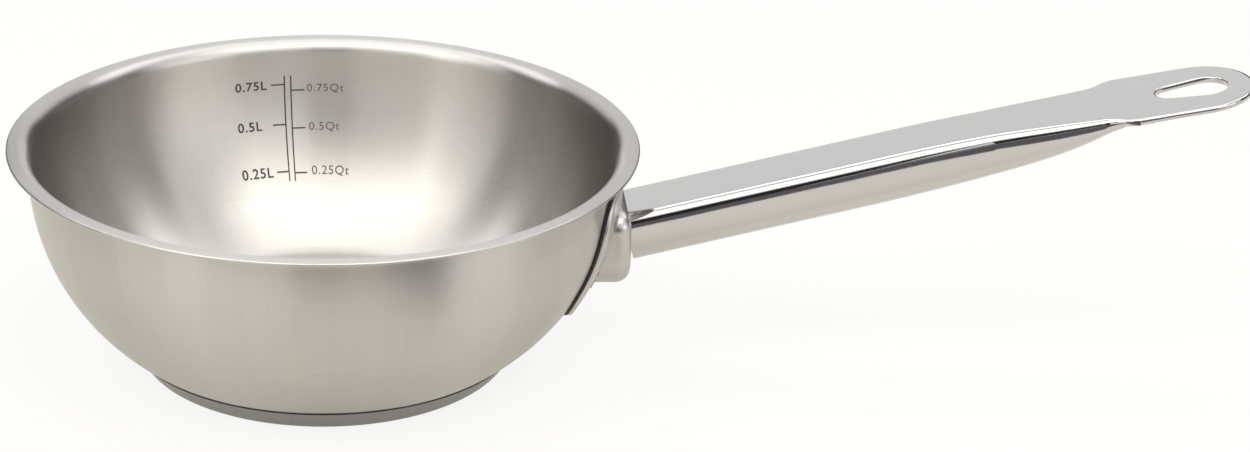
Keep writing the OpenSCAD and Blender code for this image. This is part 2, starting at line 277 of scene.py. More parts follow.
handle_steel = polished_steel("mirror_polished_handle_steel", "#c2c1c1", roughness=0.06, swell_mm=0.05)
fitting_steel = polished_steel("polished_fitting_steel", "#bebdbb", roughness=0.34, swell_mm=0.03)

# %% [markdown]
# ### The dull finishes
# A resistance weld is a small matt nugget with a heat tint. The ring of brazing metal in the cap's seam is
# nearly black as painted shade of that crease, and the band on the plate's edge is dark as painted shade
# of the gap behind the plate and a painted dark reflection of its edge. The core is plain rolled
# aluminium, sealed in and out of sight. The capacity marks are etched, which leaves a dark grey dull line
# in the bright steel. One function makes them all from two tones.

# %% The dull finishes
SPECKLE_MM = 0.7
ROLLED_GRAIN_MM = 2.0


def dull_metal(name, dark, light, metallic, roughness, relief_mm, grain_mm=SPECKLE_MM):
    """A dull finish: a fine noise of the place mixes two tones and gives a slight relief."""
    material, tree, output = new_material(name)
    place = add(tree, "ShaderNodeTexCoord").outputs["Object"]
    grain = add(tree, "ShaderNodeTexNoise", None,
                {"Vector": place, "Scale": 1 / (grain_mm * MM), "Detail": 4.0, "Roughness": 0.6})
    tone = add(tree, "ShaderNodeMapRange", None,
               {"Value": grain.outputs["Fac"], "From Min": 0.35, "From Max": 0.65})
    shade = add(tree, "ShaderNodeMix", {"data_type": "RGBA"},
                {"Factor": tone.outputs[0], COLOUR_A: linear(dark), COLOUR_B: linear(light)})
    relief = add(tree, "ShaderNodeBump", None,
                 {"Height": grain.outputs["Fac"], "Strength": 0.6, "Distance": relief_mm * MM})
    surface = add(tree, "ShaderNodeBsdfPrincipled", None,
                  {"Base Color": shade.outputs[MIXED_COLOUR], "Metallic": metallic, "Roughness": roughness,
                   "Normal": relief.outputs[0]})
    tree.links.new(surface.outputs[0], output.inputs["Surface"])
    return material


# each: name, dark and light tone, metallic, roughness, relief in millimetres
weld_metal = dull_metal("resistance_weld_metal", "#6d6964", "#a3a09b", 1.0, 0.42, 0.08)
# nearly black: painted shade of the crease at the cap's seam, over the braze that lies there
braze_painted_shade = dull_metal("furnace_braze_painted_shade", "#151312", "#262220", 0.0, 0.75, 0.02)
# dark: painted shade of the gap between plate and bowl, and a painted dark reflection of the plate's cut
# edge
plate_gap_painted_shade = dull_metal("plate_gap_painted_shade_edge", "#1f1d1c", "#353230", 0.3, 0.55, 0.02)
core_aluminium = dull_metal("rolled_aluminium", "#c9cbcd", "#dcdddf", 1.0, 0.35, 0.01, ROLLED_GRAIN_MM)
etched_grey = dull_metal("etched_marking", "#3a3734", "#4d4945", 0.0, 0.6, 0.005)
faint_grey = dull_metal("faint_etched_marking", "#5d5853", "#706a64", 0.0, 0.6, 0.005)

# %% [markdown]
# ## The bowl
# A drawn bowl is a profile turned about its axis: a flat floor, a small corner, a belly that is one wide
# arc, a short upright wall, and a pouring rim rolled outwards with a half-round lip. Every stretch is a
# true arc or line that meets the next one smoothly, as sheet does when it is drawn over a tool. Blender's
# Spin tool could turn the profile too, but worked out in numbers it keeps the sizes of the CAD model.

# %% Sizes of the bowl, in millimetres
INNER_R = 80.0
WALL = 0.8
RIM_H = 63.8
BELLY_R = 62.4
UPRIGHT_H = 6.7
FLARE_R = 3.5
RIM_REACH = 6.5
FLOOR_CORNER_R = 8.0
FLOOR_Z = 5.6
SEAM_STEP_H = 8.1
SEAM_DEPTH = 0.5
OUTER_R = INNER_R + WALL
BELLY = np.array([OUTER_R - BELLY_R, RIM_H - UPRIGHT_H])
CORNER_DROP = BELLY[1] - FLOOR_Z - FLOOR_CORNER_R
CORNER_RUN = math.sqrt((BELLY_R - FLOOR_CORNER_R) ** 2 - CORNER_DROP ** 2)
CORNER = np.array([BELLY[0] + CORNER_RUN, FLOOR_Z + FLOOR_CORNER_R])
CORNER_TURN = -math.degrees(math.atan2(CORNER_DROP, CORNER_RUN))
print(f"floor corner at radius {CORNER[0]:.2f} mm, its arc ends at {CORNER_TURN:.1f} degrees")


def belly_radius(z, offset=0.0):
    """Outside radius of the bowl at height z, moved out by offset: belly centre plus half chord there."""
    reach = BELLY_R + offset
    chord = np.sqrt(reach ** 2 - np.minimum(z - BELLY[1], 0.0) ** 2)
    return BELLY[0] + chord


def corner_angle(z, radius):
    """Angle on the floor's corner arc at height z: the arc sine of (z less its centre) over the radius."""
    return math.degrees(math.asin((z - CORNER[1]) / radius))


# %% The bowl's surface
seam_angle = corner_angle(SEAM_STEP_H, FLOOR_CORNER_R)
bend = np.array([INNER_R + FLARE_R, RIM_H - FLARE_R])
lip = np.array([INNER_R + RIM_REACH - WALL / 2, RIM_H - WALL / 2])
bowl_surface = revolve(
    straight([0, FLOOR_Z], [CORNER[0], FLOOR_Z], 12),
    arc(CORNER, FLOOR_CORNER_R - SEAM_DEPTH, -90, seam_angle, 8),
    arc(CORNER, FLOOR_CORNER_R, seam_angle, CORNER_TURN, 8),
    arc(BELLY, BELLY_R, CORNER_TURN, 0, 64),
    straight([OUTER_R, BELLY[1]], [OUTER_R, bend[1]], 4),
    arc(bend, FLARE_R - WALL, 180, 90, 14),
    straight([bend[0], RIM_H - WALL], lip - [0, WALL / 2], 4),
    arc(lip, WALL / 2, -90, 90, 12),
    straight(lip + [0, WALL / 2], [bend[0], RIM_H], 4),
    arc(bend, FLARE_R, 90, 180, 18),
    straight([INNER_R, bend[1]], [INNER_R, BELLY[1]], 4),
    arc(BELLY, BELLY_R - WALL, 0, CORNER_TURN, 64),
    arc(CORNER, FLOOR_CORNER_R - WALL, CORNER_TURN, -90, 12),
    straight([CORNER[0], FLOOR_Z + WALL], [0, FLOOR_Z + WALL], 12),
)
bowl = make_piece("satin_bowl", [(bowl_surface, True, False)], satin_bowl_steel)
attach(bowl, "root")
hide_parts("bowl")

# %% [markdown]
# ## The base cap
# The cap is pressed over the aluminium core and brazed under the floor. Its edge stands a hair away from
# the belly and is rounded, and that crease is the thin dark seam round the foot of the pan. It is turned
# as the bowl is.

# %% The cap's surface
CAP_CORNER_R = 4.0
CAP_INSET = 7.0
SEAM_H = 6.8
CAP_LIP = 0.2
CAP_EDGE_R = 0.3
EDGE_ROLL = 130  # degrees that the edge turns in over itself
CAP_TUCK = [-1.2, -0.6]  # from the rolled edge down behind it
CAP_TOP_IN, CAP_TOP_DOWN = 6.0, 0.3  # hidden top face: in from the floor's corner, and below the floor
cap_top = [CORNER[0] - CAP_TOP_IN, FLOOR_Z - CAP_TOP_DOWN]
seam_r = CORNER[0] + math.sqrt(FLOOR_CORNER_R ** 2 - (CORNER[1] - SEAM_H) ** 2)
cap_edge = np.array([seam_r + CAP_LIP, SEAM_H])
cap_corner = cap_edge - [CAP_INSET, SEAM_H - CAP_CORNER_R]
cap_reach = math.hypot(*(cap_edge - cap_corner))
cap_turn = math.degrees(math.atan2(*(cap_edge - cap_corner)[::-1]) - math.acos(CAP_CORNER_R / cap_reach))
cap_out = np.array([math.cos(math.radians(cap_turn)), math.sin(math.radians(cap_turn))])
cap_along = np.array([-cap_out[1], cap_out[0]])
edge_start = cap_edge - CAP_EDGE_R * cap_along
edge_centre = edge_start - CAP_EDGE_R * cap_out
cap_surface = revolve(
    straight([0, 0], [cap_corner[0], 0], 12),
    arc(cap_corner, CAP_CORNER_R, -90, cap_turn, 16),
    straight(cap_corner + CAP_CORNER_R * cap_out, edge_start, 6),
    arc(edge_centre, CAP_EDGE_R, cap_turn, cap_turn + EDGE_ROLL, 10),
    straight(edge_centre + CAP_TUCK, cap_top, 6),
    straight(cap_top, [0, cap_top[1]], 6),
)
base_cap = make_piece("satin_base_cap", [(cap_surface, True, False)], satin_base_steel_painted_shade)
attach(base_cap, "root")
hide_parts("base_cap")

# %% [markdown]
# ### The brazed seam, with painted shade
# Between cap and belly runs a narrow crease. The bowl's foot steps in there by half a millimetre, and
# brazing metal lies at the bottom of the step. The ring's nearly black colour is painted shade: it
# stands for the shade in that crease. A line painted on the steel would catch the light, so the ring is
# a piece of its own, and the overhang above it shades it as well.

# %% The seam's surface
BRAZE_PROUD, BRAZE_SUNK = 0.05, 0.1  # over and under the surface of the step
BRAZE_IN, BRAZE_BACK = 2.8, 0.12  # out from the floor's corner, and behind the cap's edge
BRAZE_UNDER, HAIR = 0.4, 0.03  # depth below the cap's edge, and the gap that keeps two faces apart
braze_in, braze_out = CORNER[0] + BRAZE_IN, cap_edge[0] - BRAZE_BACK
braze_low, braze_high, braze_top = SEAM_H - BRAZE_UNDER, SEAM_H + HAIR, SEAM_STEP_H - HAIR
wet_r = FLOOR_CORNER_R - SEAM_DEPTH + BRAZE_PROUD
sunk_r = FLOOR_CORNER_R - SEAM_DEPTH - BRAZE_SUNK
seam_surface = revolve(
    straight([braze_in, braze_low], [braze_out, braze_low], 2),
    straight([braze_out, braze_low], [braze_out, braze_high], 2),
    arc(CORNER, wet_r, corner_angle(braze_high, wet_r), corner_angle(braze_top, wet_r), 6),
    arc(CORNER, sunk_r, corner_angle(braze_top, sunk_r), corner_angle(braze_high, sunk_r), 6),
)
braze_ring_painted_shade = make_piece("braze_ring_painted_shade", [(seam_surface, True, True)], braze_painted_shade)
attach(braze_ring_painted_shade, "root")

# %% [markdown]
# ## The weld plate
# A small plate with round corners, bent to the belly, carries the handle. It is a rounded rectangle in
# the upright plane across the handle, laid on the belly: a point (y, z) gets its x from the belly's
# radius at z. A Shrinkwrap modifier could bend a flat plate too, but the formula keeps its thickness
# even.

# %% The plate's surface
PLATE_W, PLATE_H, PLATE_R = 60.0, 37.0, 10.0
PLATE_T = 1.5
PLATE_GAP = 0.15
PLATE_Z = 38.9
PLATE_EDGE_R = 0.45
LEAST_R = 0.2  # a corner that is drawn in keeps at least this radius
FILL_STEPS, ROLL_STEPS = 14, 7
SIDE_STEPS = 18  # points on a straight side: a longer chord would cut through the round wall


def rounded_outline(half_w, half_h, lower_r, upper_r, inset, steps=16):
    """Rounded rectangle as (y, z) points, clockwise seen from the handle's end: a quarter circle at each
    corner, its radius less inset, and an even row of points on each side between them."""
    corners = [(1, 1, upper_r, 90), (1, -1, lower_r, 0), (-1, -1, lower_r, -90), (-1, 1, upper_r, 180)]
    bends = [arc((sy * (half_w - r), sz * (half_h - r)), max(r - inset, LEAST_R), a, a - 90, steps)
             for sy, sz, r, a in corners]
    sides = [straight(bend[-1], following[0], SIDE_STEPS)[1:-1]
             for bend, following in zip(bends, bends[1:] + bends[:1])]
    return np.concatenate([stretch for pair in zip(bends, sides) for stretch in pair])


def on_belly(y, z, offset):
    """(y, z) laid on the bowl, offset out from it: x is the root of the radius squared less y squared."""
    x = np.sqrt(belly_radius(z, offset) ** 2 - y ** 2)
    return np.stack([x, y, z], axis=-1)


def belly_pad(half_w, half_h, corner_r, centre_z, back, front, edge_r):
    """A plate on the belly. Rows go round its outline, and columns go from the middle of its back over the
    edge to the middle of its front: a lane is the outline, drawn in by inset, times fill, at its offset."""
    fills = np.linspace(0, 1, FILL_STEPS)
    inner, outer = quarter_roll(edge_r, ROLL_STEPS)
    lanes = [(fill, edge_r, back) for fill in fills]
    lanes += [(1, inset, back + rise) for inset, rise in zip(inner[1:], outer[1:])]
    lanes += [(1, inset, front - drop) for inset, drop in zip(outer, inner)]
    lanes += [(fill, edge_r, front) for fill in fills[::-1][1:]]
    columns = []
    for fill, inset, offset in lanes:
        outline = rounded_outline(half_w, half_h, corner_r, corner_r, inset) * fill
        columns.append(on_belly(outline[:, 0], outline[:, 1] + centre_z, offset))
    return np.stack(columns, axis=1)[::-1]


plate_surface = belly_pad(PLATE_W / 2, PLATE_H / 2, PLATE_R, PLATE_Z, back=PLATE_GAP,
                          front=PLATE_GAP + PLATE_T, edge_r=PLATE_EDGE_R)
weld_plate = make_piece("polished_weld_plate", [(plate_surface, True, False)], fitting_steel)
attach(weld_plate, "root")
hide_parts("weld_plate")

# %% [markdown]
# ### The plate's edge, with painted shade
# The plate is polished on its face. A matt, nearly black band round the plate's side, closed like a belt,
# is painted shade of the narrow gap between plate and bowl and a painted dark reflection of the plate's
# cut edge. It leaves the rounded front edge bright.

# %% The edge's surface
EDGE_PROUD, EDGE_DEEP = 0.04, 0.5  # over and under the side of the plate
EDGE_BACK, EDGE_FRONT = 0.1, 0.8  # out from the bowl
belt_lanes = []
for inset, offset in ((-EDGE_PROUD, EDGE_BACK), (-EDGE_PROUD, EDGE_FRONT),
                      (EDGE_DEEP, EDGE_FRONT), (EDGE_DEEP, EDGE_BACK)):
    outline = rounded_outline(PLATE_W / 2, PLATE_H / 2, PLATE_R, PLATE_R, inset)
    belt_lanes.append(on_belly(outline[:, 0], outline[:, 1] + PLATE_Z, offset))
belt_surface = np.stack(belt_lanes, axis=1)[::-1]
plate_gap_shade_band = make_piece("plate_gap_painted_shade_band", [(belt_surface, True, True)], plate_gap_painted_shade)
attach(plate_gap_shade_band, "root")

# %% [markdown]
# ## The handle
# The handle is one tube with a flat top. Towards its end it is pressed between two tools until the sheets
# meet: the underside rises along a quarter of an ellipse while the edges flare out into a wide flat
# tongue. Each section is a curve across the handle, and a few formulas change it along the way. Squashing
# a cylinder by hand would leave dents, and a mirror finish shows every one.

# %% Sizes of the handle, in millimetres
FERRULE_REACH, HANDLE_LEN, ROOT_HIDDEN = 3.8, 174.2, 2.5
WIDEN_END, WIDEN_START, PRESS_START, BEND_AT = 35.5, 75.0, 115.0, 81.0  # back from the tip
STEP_LEN, PRESS_LEAD, BEND_LEN = 9.5, 4.0, 36.0
TUBE_W, TUBE_H, TUBE_WALL, TUBE_EDGE_R = 22.4, 16.5, 0.9, 3.0
TONGUE_W, TONGUE_T, TONGUE_EDGE_R = 32.4, 2 * TUBE_WALL, 0.7
PRESSED_W = 26.2
TUBE_TILT, TONGUE_TILT = 13.9, 10.4  # degrees
ROOT_TOP_Z = 45.4
FERRULE_X = OUTER_R + FERRULE_REACH
ROOT_X, TIP_X = FERRULE_X - ROOT_HIDDEN, FERRULE_X + HANDLE_LEN
STEP_TO = TIP_X - WIDEN_END
STEP_FROM = STEP_TO - STEP_LEN
WIDEN_FROM = TIP_X - WIDEN_START
PRESS_FROM, PRESS_TO = TIP_X - PRESS_START, STEP_TO - PRESS_LEAD
BEND_X = TIP_X - BEND_AT
print(f"tube from x {ROOT_X:.1f}, pressed from {PRESS_FROM:.1f} to {PRESS_TO:.1f}, tip at {TIP_X:.1f} mm")

# %% Formulas of the handle
PRESS_POWER = 2.5  # shape of the rise under the pressed end
ROUND_POWER, THIN_POWER, THIN_DELAY = 0.5, 0.8, 1.5  # half an ellipse that gets leaner as it thins


def slope(degrees):
    """Rise per length: the tangent of the tilt."""
    return math.tan(math.radians(degrees))


def top_height(x):
    """Height of the top face: two straight lines, joined by a parabola over the bend."""
    bend_z = ROOT_TOP_Z + slope(TUBE_TILT) * (BEND_X - FERRULE_X)
    bent = np.clip((x - BEND_X) / BEND_LEN + 0.5, 0, 1) * BEND_LEN
    eased = (slope(TUBE_TILT) - slope(TONGUE_TILT)) * bent ** 2 / (2 * BEND_LEN)
    before = slope(TUBE_TILT) * (x - BEND_X) - eased
    return bend_z + np.where(x >= BEND_X + BEND_LEN / 2, slope(TONGUE_TILT) * (x - BEND_X), before)


def top_tilt(x):
    """Tilt of the top face, in radians: the arc tangent of a slope that changes evenly over the bend."""
    share = np.clip((x - BEND_X) / BEND_LEN + 0.5, 0, 1)
    return np.arctan(slope(TUBE_TILT) + (slope(TONGUE_TILT) - slope(TUBE_TILT)) * share)


def depth_share(x):
    """One on the tube, then down to zero where the sheets meet: the root of one less a power of the way."""
    return np.sqrt(1 - np.clip((x - PRESS_FROM) / (PRESS_TO - PRESS_FROM), 0, 1) ** PRESS_POWER)


def half_width(x):
    """Half the width: an even growth along the pressed tube, then t squared times (3 - 2t) at the step."""
    grown = np.clip((x - WIDEN_FROM) / (STEP_FROM - WIDEN_FROM), 0, 1)
    t = np.clip((x - STEP_FROM) / STEP_LEN, 0, 1)
    return (TUBE_W + (PRESSED_W - TUBE_W) * grown + (TONGUE_W - PRESSED_W) * t * t * (3 - 2 * t)) / 2


def underside(x, u):
    """Depth below the top face at share u of the half width: the side's depth, plus the rest of the depth
    times (1 - u squared) to a power."""
    k = depth_share(x)
    side = TONGUE_T + (TUBE_H - TUBE_W / 2 - TONGUE_T) * k
    depth = TONGUE_T + (TUBE_H - TONGUE_T) * k
    power = ROUND_POWER + (THIN_POWER - ROUND_POWER) * (1 - k) ** THIN_DELAY
    return side + (depth - side) * np.maximum(1 - u * u, 0) ** power


def placed(x, across, down):
    """Stands section points square to the top face at x: across the handle and down from its top."""
    t = top_tilt(x)
    return np.stack([x + down * np.sin(t), across + 0 * t, top_height(x) - down * np.cos(t)], axis=-1)


print(f"tube {TUBE_W} by {TUBE_H} mm, tongue {TONGUE_W} by {TONGUE_T} mm")

# %% The tube and its pressed end
EDGE_STEPS, TOP_STEPS, UNDER_STEPS = 9, 17, 97
TUBE_ROWS, PRESS_ROWS, LEAD_ROWS = 60, 150, 16


def tube_sections(x):
    """Rows of section points: right edge, underside to the left, left edge, back across the flat top."""
    x = x[:, None]
    w = half_width(x)
    r = TONGUE_EDGE_R + (TUBE_EDGE_R - TONGUE_EDGE_R) * depth_share(x)
    roll_in, roll_down = quarter_roll(r, EDGE_STEPS)
    edge_across = w - roll_in
    u = np.cos(np.linspace(0, np.pi, UNDER_STEPS))[None, :]
    top_across = (r - w) + 2 * (w - r) * np.linspace(0, 1, TOP_STEPS)[None, 1:-1]
    across = np.concatenate([edge_across, w * u, -edge_across[:, ::-1], top_across], axis=1)
    down = np.concatenate([roll_down, underside(x, u), roll_down[:, ::-1], 0 * top_across], axis=1)
    return placed(x, across, down)


tube_x = np.linspace(ROOT_X, PRESS_FROM, TUBE_ROWS)
press_x = PRESS_FROM + (PRESS_TO - PRESS_FROM) * np.sin(np.linspace(0, np.pi / 2, PRESS_ROWS))
lead_x = np.linspace(PRESS_TO, STEP_TO, LEAD_ROWS)
sections = tube_sections(np.concatenate([tube_x, press_x[1:], lead_x[1:]]))
root_middle = np.broadcast_to(sections[0].mean(axis=0), sections[:1].shape)
tube_surface = np.concatenate([root_middle, sections])
print(f"tube: {sections.shape[0]} sections of {sections.shape[1]} points")

# %% [markdown]
# ### The flat tongue and its hanging slot
# The tongue is a flat plate with a half-round end and a teardrop slot. A Boolean would cut the slot
# faster, but the triangles that it leaves show in a mirror finish. So the tongue is laid out flat, as
# (s, y) along and across it, in lanes that run from the slot's edge to the tongue's edge. Both outlines
# stay true curves, and their rolled edges catch the thin bright lines that show on the real handle.

# %% The tongue's outlines
TONGUE_TURN = math.radians(TONGUE_TILT)
SLOT_R, NECK_R, SLOT_LEN, SLOT_MARGIN = 6.5, 4.5, 20.6, 7.2
SIDE_POINTS, END_POINTS = 16, 73
SLOT_ARC_POINTS, SLOT_LINE_POINTS = 400, 200
tongue_half = TONGUE_W / 2
end_s = (TIP_X - tongue_half - STEP_TO) / math.cos(TONGUE_TURN)
slot_out_s = (TIP_X - SLOT_MARGIN - SLOT_R - STEP_TO) / math.cos(TONGUE_TURN)
slot_run = SLOT_LEN - SLOT_R - NECK_R
slot_middle = np.array([slot_out_s - slot_run / 2, 0.0])


def on_tongue(s, y, down):
    """Flat (s, y) and a depth in space: s times (cos, sin) of the tilt, from where the tongue has its full
    width, plus the depth square to it."""
    x = STEP_TO + s * math.cos(TONGUE_TURN) + down * math.sin(TONGUE_TURN)
    z = top_height(np.array(STEP_TO)) + s * math.sin(TONGUE_TURN) - down * math.cos(TONGUE_TURN)
    return np.stack([x, y, z + 0 * x], axis=-1)


def tongue_outline(inset):
    """Near side, round end and far side of the tongue: a place on its middle line, plus (half width less
    inset) times (cos, sin) of a heading. The inset is a number, or one number a point."""
    side = np.linspace(0, end_s, SIDE_POINTS)
    a = np.radians(np.linspace(-90, 90, END_POINTS))
    middle_s = np.concatenate([side[:-1], np.full(END_POINTS, end_s), side[::-1][1:]])
    heading = np.concatenate([np.full(SIDE_POINTS - 1, a[0]), a, np.full(SIDE_POINTS - 1, a[-1])])
    r = tongue_half - inset
    return np.column_stack([middle_s + r * np.cos(heading), r * np.sin(heading)])


def slot_outline(angle, grow):
    """The teardrop where rays at these angles from its middle meet it: two circles and their outer
    tangents, grown by grow."""
    lean = math.degrees(math.asin((SLOT_R - NECK_R) / slot_run))
    outer = arc((slot_run / 2, 0), SLOT_R + grow, -90 - lean, 90 + lean, SLOT_ARC_POINTS)
    inner = arc((-slot_run / 2, 0), NECK_R + grow, 90 + lean, 270 - lean, SLOT_ARC_POINTS)
    there = straight(outer[-1], inner[0], SLOT_LINE_POINTS)
    back = straight(inner[-1], outer[0], SLOT_LINE_POINTS)
    loop = np.concatenate([outer, there, inner, back[:-1]])
    direction = np.unwrap(np.arctan2(loop[:, 1], loop[:, 0]))
    reach = np.hypot(loop[:, 0], loop[:, 1])
    fit = np.interp((angle - direction[0]) % (2 * np.pi), direction - direction[0], reach, period=2 * np.pi)
    return slot_middle + fit[:, None] * np.column_stack([np.cos(angle), np.sin(angle)])


print(f"slot {SLOT_LEN} mm long, its middle {slot_middle[0]:.1f} mm along the tongue")

# %% [markdown]
# ### The tongue's faces and rolled edges
# The two flat faces fill the space between slot and outline. The edges are rolled by a quarter circle at
# the top and another at the bottom. The lower one begins gently where the pressed tube ends, so the two
# meet without a step.

# %% The tongue's faces and rolled edges
SLOT_EDGE_R = 0.4
LOWER_EDGE_R, LOWER_EDGE_RUN = 0.6, 8.0  # the lower roll, and the length over which it begins
FACE_LANES, SLOT_STEPS, LOWER_STEPS = 9, 6, 7


def face_border(inset, rear_half):
    """The outline of a flat face, closed across its rear, and each point's angle seen from the slot."""
    rear = straight([0, rear_half], [0, -rear_half], TOP_STEPS)[1:-1]
    outline = np.concatenate([tongue_outline(inset), rear])
    return outline, np.arctan2(outline[:, 1], outline[:, 0] - slot_middle[0])


shares = np.linspace(0, 1, FACE_LANES)[:, None, None]


def tongue_face(outline, angle, depth):
    """A flat face from the slot's edge to an outline: slot times (1 - share) plus outline times share."""
    flat = slot_outline(angle, SLOT_EDGE_R)[None] * (1 - shares) + outline[None] * shares
    return on_tongue(flat[..., 0], flat[..., 1], depth)


lower_r = LOWER_EDGE_R * np.clip(tongue_outline(0.0)[:, 0] / LOWER_EDGE_RUN, 0, 1)
top_border, top_angle = face_border(TONGUE_EDGE_R, tongue_half - TONGUE_EDGE_R)
bottom_border, bottom_angle = face_border(lower_r, tongue_half)
side_lanes = [*zip(*quarter_roll(TONGUE_EDGE_R, EDGE_STEPS))]
lower_up, lower_in = quarter_roll(1.0, LOWER_STEPS)
side_lanes += [(lower_r * a, TONGUE_T - lower_r * b) for a, b in zip(lower_in[1:], lower_up[1:])]
side_wall = np.stack([on_tongue(*tongue_outline(inset).T, down) for inset, down in side_lanes])
inner, outer = quarter_roll(SLOT_EDGE_R, SLOT_STEPS)
slot_lanes = [*zip(inner, outer), *zip(outer, TONGUE_T - inner)]
slot_wall = np.stack([on_tongue(*slot_outline(top_angle, grow).T, down) for grow, down in slot_lanes])
tongue_grids = [
    (tongue_face(top_border, top_angle, 0.0), False, True),
    (tongue_face(bottom_border, bottom_angle, TONGUE_T)[::-1], False, True),
    (side_wall, False, False),
    (slot_wall[::-1], False, True),
]
handle = make_piece("polished_handle", [(tube_surface, False, True)] + tongue_grids, handle_steel)
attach(handle, "root")
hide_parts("handle")

# %% [markdown]
# ## The ferrule
# A pressed cup hides the joint of tube and plate. A box with a Bevel modifier comes close, but its foot
# has to follow the plate. So rows go round its outline, and columns go from the middle of its foot on the
# plate, along its side, over the rolled edge and across the face to where the tube covers it.

# %% The ferrule's surface
FERRULE_SIDE, FERRULE_ABOVE, FERRULE_BELOW = 2.55, 0.95, 5.6
FERRULE_LOWER_R, FERRULE_UPPER_R, FERRULE_EDGE_R = 9.5, 5.0, 4.0
CORNER_STEPS, FOOT_LANES, SIDE_LANES, EDGE_LANES = 20, 10, 8, 13
ferrule_half_w = TUBE_W / 2 + FERRULE_SIDE
ferrule_half_h = (FERRULE_ABOVE + TUBE_H + FERRULE_BELOW) / 2
ferrule_z = ROOT_TOP_Z + FERRULE_ABOVE - ferrule_half_h
foot_offset = PLATE_GAP + PLATE_T / 2


def ferrule_ring(inset):
    """The cup's outline, drawn in by inset, as y and z: a rounded rectangle raised to the cup's height."""
    ring = rounded_outline(ferrule_half_w, ferrule_half_h, FERRULE_LOWER_R, FERRULE_UPPER_R, inset,
                           CORNER_STEPS)
    return ring[:, 0], ring[:, 1] + ferrule_z


side_y, side_z = ferrule_ring(0)
foot = on_belly(side_y, side_z, foot_offset)
edge = np.column_stack([np.full(len(foot), FERRULE_X - FERRULE_EDGE_R), side_y, side_z])
cup_lanes = [on_belly(side_y * t, ferrule_z + (side_z - ferrule_z) * t, foot_offset)
             for t in np.linspace(0, 1, FOOT_LANES)[:-1]]
cup_lanes += [foot * (1 - t) + edge * t for t in np.linspace(0, 1, SIDE_LANES)]
back, inset = quarter_roll(FERRULE_EDGE_R, EDGE_LANES)
for from_face, drawn_in in zip(back[1:], inset[1:]):
    y, z = ferrule_ring(drawn_in)
    cup_lanes.append(np.column_stack([np.full(len(y), FERRULE_X - from_face), y, z]))
cup_lanes.append(np.broadcast_to([FERRULE_X, 0, ferrule_z], foot.shape))
ferrule_surface = np.stack(cup_lanes, axis=1)[::-1]
ferrule = make_piece("polished_ferrule", [(ferrule_surface, True, False)], fitting_steel)
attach(ferrule, "root")
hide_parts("ferrule")

# %% [markdown]
# ## The welds and the core
# The weld nuggets are flat dots, and the bead and the core are out of sight. Their CAD solids are smooth
# enough, so they stay and only get their finish.

# %% Finishes of the welds and the core
cad_finishes = {"plate_welds": weld_metal, "root_weld": weld_metal, "core_disc": core_aluminium}
for node, material in cad_finishes.items():
    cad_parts[node].data.materials.clear()
    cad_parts[node].data.materials.append(material)
    print(node, "gets", material.name)

# %% [markdown]
# ## The capacity marks
# Litres are etched left of a double scale line, and quarts right of it. Etching takes no depth that
# shows, so the marks are thin meshes laid a few hundredths of a millimetre over the wall. They are drawn
# flat, as a printer's stencil is, and then wrapped: a place (angle, height) on the wall has the bowl's
# inner radius at that height.

# %% Wrapping a flat drawing on the inner wall
MARK_LIFT = 0.05
LINE_W = 0.42
LETTER_H = 2.75


def on_wall(angle, z):
    """Wall point at an angle in degrees from +Y towards +X and a height: (r sin a, r cos a, z)."""
    a = np.radians(angle)
    r = belly_radius(z, -WALL) - MARK_LIFT
    return np.stack([r * np.sin(a), r * np.cos(a), z], axis=-1)


def stroke(angles, heights_mm, steps):
    """A bar on the wall: a grid of even steps between two angles and between two heights."""
    a, z = np.meshgrid(np.linspace(*angles, steps), np.linspace(*heights_mm, steps), indexing="ij")
    return on_wall(a, z), False, False


def degrees_for(length, z):
    """The angle that a length along the wall takes up: the length over the inner radius at height z."""
    return np.degrees(length / belly_radius(np.asarray(z, float), -WALL))


print(f"one millimetre along the wall is {degrees_for(1.0, 40.0):.2f} degrees at 40 mm height")

# %% Scale lines and ticks
LITRE_LINE, QUART_LINE = -9.85, -8.45
SCALE_FOOT, SCALE_MIDDLE, SCALE_TOP = 23.1, 40.0, 53.3
TICK_DEGREES = 2.95
LINE_STEPS, TICK_STEPS = 40, 8
litre_heights = (50.6, 38.65, 25.65)  # for 0.75, 0.5 and 0.25 of each unit
quart_heights = (48.7, 37.5, 25.2)
line_half = float(degrees_for(LINE_W / 2, SCALE_MIDDLE))
bars = [stroke((line - line_half, line + line_half), (SCALE_FOOT, SCALE_TOP), LINE_STEPS)
        for line in (LITRE_LINE, QUART_LINE)]
for angles, heights in (((LITRE_LINE - TICK_DEGREES, LITRE_LINE), litre_heights),
                        ((QUART_LINE, QUART_LINE + TICK_DEGREES), quart_heights)):
    bars += [stroke(angles, (z - LINE_W / 2, z + LINE_W / 2), TICK_STEPS) for z in heights]
scale_bars = make_piece("etched_scale", bars, etched_grey)
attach(scale_bars, "root")

# %% [markdown]
# The figures come from Blender's own typeface. A text object is turned to a mesh, stretched to the width
# and height that the real figures have, and wrapped on the wall in the same way.

# %% Figures
BOLD, THIN = 0.018, 0.004
FIGURE_SPACING = 1.12
# each: text, angle of its left end in degrees, height of its middle, its width, its tone
label_places = [
    ("0.75L", -20.7, 50.6, 9.7, etched_grey), ("0.5L", -20.8, 38.65, 7.5, etched_grey),
    ("0.25L", -21.4, 25.7, 9.6, etched_grey), ("0.75Qt", -5.0, 49.15, 11.1, faint_grey),
    ("0.5Qt", -4.7, 37.7, 9.2, faint_grey), ("0.25Qt", -4.3, 25.6, 11.1, faint_grey),
]


